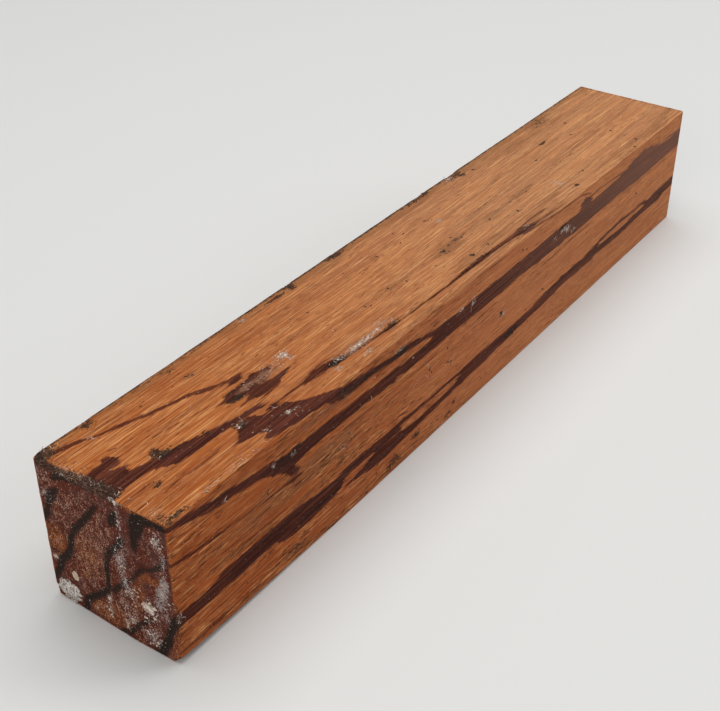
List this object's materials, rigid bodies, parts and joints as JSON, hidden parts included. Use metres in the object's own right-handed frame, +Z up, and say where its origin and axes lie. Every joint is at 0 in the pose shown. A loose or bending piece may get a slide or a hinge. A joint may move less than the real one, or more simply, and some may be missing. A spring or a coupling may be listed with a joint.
{
  "type": "wood turning blank",
  "caption": "Square hardwood spindle blank with dark striped grain, worn sealed end and torn arrises, to be mounted between lathe centres and turned.",
  "frame": {"origin": "middle of the underside, where the blank rests on a surface", "axes": "+X along the length, away from the worn end with the sealer; +Y towards the side with the chipped upper arris; +Z up"},
  "size_m": [0.3, 0.0452, 0.0471],
  "materials": {
    "marblewood": "sawn and unfinished, orange brown with dark purple-brown veins, dusty",
    "end_sealer": "dull whitish wax with dust and grit in it"
  },
  "bodies": {
    "root": {"wood_blank": "marblewood", "wax_lump": "end_sealer", "wax_drop": "end_sealer"}
  },
  "joints": []
}
